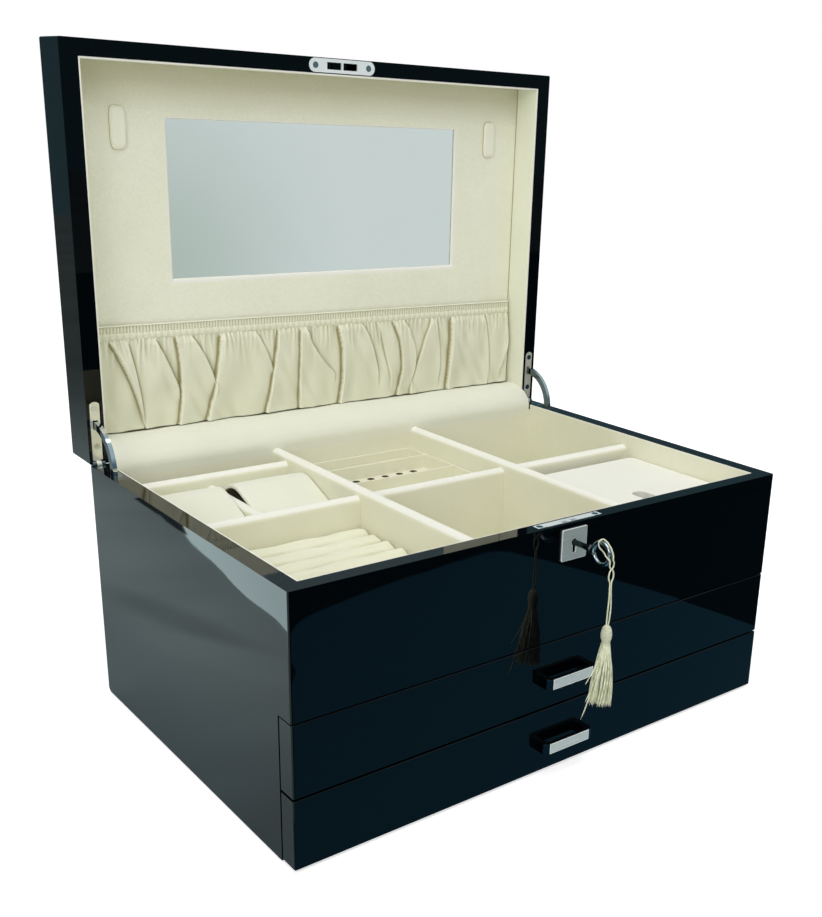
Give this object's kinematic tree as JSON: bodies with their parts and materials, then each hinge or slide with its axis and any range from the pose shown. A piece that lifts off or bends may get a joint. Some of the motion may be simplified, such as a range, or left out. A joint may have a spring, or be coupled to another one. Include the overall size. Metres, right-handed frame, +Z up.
{
  "type": "jewelry box",
  "caption": "Gloss black jewelry box standing open: mirrored lid on curved stays, lined tray with ring rolls, watch pads and earring insert, drawers with bridge pulls, key with tassel",
  "frame": {"origin": "middle of the base of the case, on the surface that it stands on", "axes": "+Z up, front with lock and drawers towards -Y, +X to the right seen from the front"},
  "size_m": [0.38, 0.3301, 0.4247],
  "materials": {
    "lacquer": "high-gloss polished near-black lacquer on board",
    "velour_board": "board covered with cream velour",
    "velour": "cream velour",
    "chrome": "polished plating",
    "mirror_glass": "silvered glass",
    "felt": "thin black felt",
    "yarn": "soft cream viscose yarn"
  },
  "bodies": {
    "case": {"left_side": "lacquer", "right_side": "lacquer", "front_rail": "lacquer", "back_panel": "lacquer", "tray_shelf": "lacquer", "drawer_shelf": "lacquer", "bottom_panel": "lacquer", "base_felt": "felt", "tray_lining": "velour", "long_dividers": "velour_board", "cross_dividers": "velour_board", "watch_separator": "velour_board", "ring_rolls": "velour", "earring_insert": "velour_board", "cover_cleats": "velour_board", "lock_case": "chrome", "lock_plate": "chrome", "escutcheon": "chrome", "case_hinge_leaves": "chrome", "hinge_pins": "chrome", "case_screws": "chrome", "hinge_gusset": "velour"},
    "lid": {"lid_front": "lacquer", "lid_back": "lacquer", "lid_sides": "lacquer", "lid_top": "lacquer", "lid_lining": "velour", "lid_pad": "velour_board", "lid_mirror": "mirror_glass", "lid_cushions": "velour", "lid_pocket": "velour", "catch_plate": "chrome", "lid_hinge_leaves": "chrome", "lid_screws": "chrome"},
    "left_stay": {"stay_left": "chrome"},
    "right_stay": {"stay_right": "chrome"},
    "upper_drawer": {"upper_drawer_front": "lacquer", "upper_drawer_walls": "velour_board", "upper_drawer_base": "velour_board", "upper_drawer_lining": "velour", "upper_drawer_dividers": "velour_board", "upper_drawer_pull": "chrome", "upper_pull_screws": "chrome"},
    "lower_drawer": {"lower_drawer_front": "lacquer", "lower_drawer_walls": "velour_board", "lower_drawer_base": "velour_board", "lower_drawer_lining": "velour", "lower_drawer_dividers": "velour_board", "lower_drawer_pull": "chrome", "lower_pull_screws": "chrome"},
    "left_claw": {"claw_left": "chrome"},
    "right_claw": {"claw_right": "chrome"},
    "key": {"key": "chrome"},
    "tassel": {"tassel_cord": "yarn", "tassel_head": "yarn", "tassel_skirt": "yarn"},
    "cover": {"tray_cover": "velour_board"},
    "left_watch_pad": {"watch_pad_left": "velour_board"},
    "right_watch_pad": {"watch_pad_right": "velour_board"}
  },
  "joints": [
    {"name": "lid_hinge", "type": "hinge", "parent": "case", "child": "lid", "pos_m": [0, 0.13, 0.16415], "axis": [1, 0, 0], "range_deg": [0, 89], "deforming": ["hinge_gusset"]},
    {"name": "left_stay_swing", "type": "hinge", "parent": "case", "child": "left_stay", "pos_m": [-0.1845, 0.13, 0.16415], "axis": [1, 0, 0], "range_deg": [0, 44.5]},
    {"name": "right_stay_swing", "type": "hinge", "parent": "case", "child": "right_stay", "pos_m": [0.1845, 0.13, 0.16415], "axis": [1, 0, 0], "range_deg": [0, 44.5]},
    {"name": "upper_drawer_slide", "type": "slide", "parent": "case", "child": "upper_drawer", "axis": [0, -1, 0], "range_m": [0, 0.17], "deforming": ["tassel_skirt"]},
    {"name": "lower_drawer_slide", "type": "slide", "parent": "case", "child": "lower_drawer", "axis": [0, -1, 0], "range_m": [0, 0.17]},
    {"name": "key_turn", "type": "hinge", "parent": "case", "child": "key", "pos_m": [0.0015, -0.127, 0.152], "axis": [0, 1, 0], "range_deg": [0, 90], "deforming": ["tassel_cord"]},
    {"name": "tassel_swing", "type": "hinge", "parent": "key", "child": "tassel", "pos_m": [0.0015, -0.16, 0.152], "axis": [0, 1, 0], "range_deg": [-90, 0]},
    {"name": "left_claw_swing", "type": "hinge", "parent": "case", "child": "left_claw", "pos_m": [-0.0095, -0.125, 0.1595], "axis": [0, -1, 0], "range_deg": [0, 105]},
    {"name": "right_claw_swing", "type": "hinge", "parent": "case", "child": "right_claw", "pos_m": [0.0125, -0.125, 0.1595], "axis": [0, 1, 0], "range_deg": [0, 105]},
    {"name": "cover_lift", "type": "slide", "parent": "case", "child": "cover", "axis": [0, 0, 1], "range_m": [0, 0.03]},
    {"name": "left_pad_lift", "type": "slide", "parent": "case", "child": "left_watch_pad", "axis": [0, 0, 1], "range_m": [0, 0.015]},
    {"name": "right_pad_lift", "type": "slide", "parent": "case", "child": "right_watch_pad", "axis": [0, 0, 1], "range_m": [0, 0.015]}
  ],
  "couplings": [
    {"joint": "left_stay_swing", "follows": "lid_hinge", "ratio": 0.5},
    {"joint": "right_stay_swing", "follows": "lid_hinge", "ratio": 0.5},
    {"joint": "left_claw_swing", "follows": "key_turn", "ratio": 1.1666},
    {"joint": "right_claw_swing", "follows": "key_turn", "ratio": 1.1666},
    {"joint": "tassel_swing", "follows": "key_turn", "ratio": -1}
  ]
}
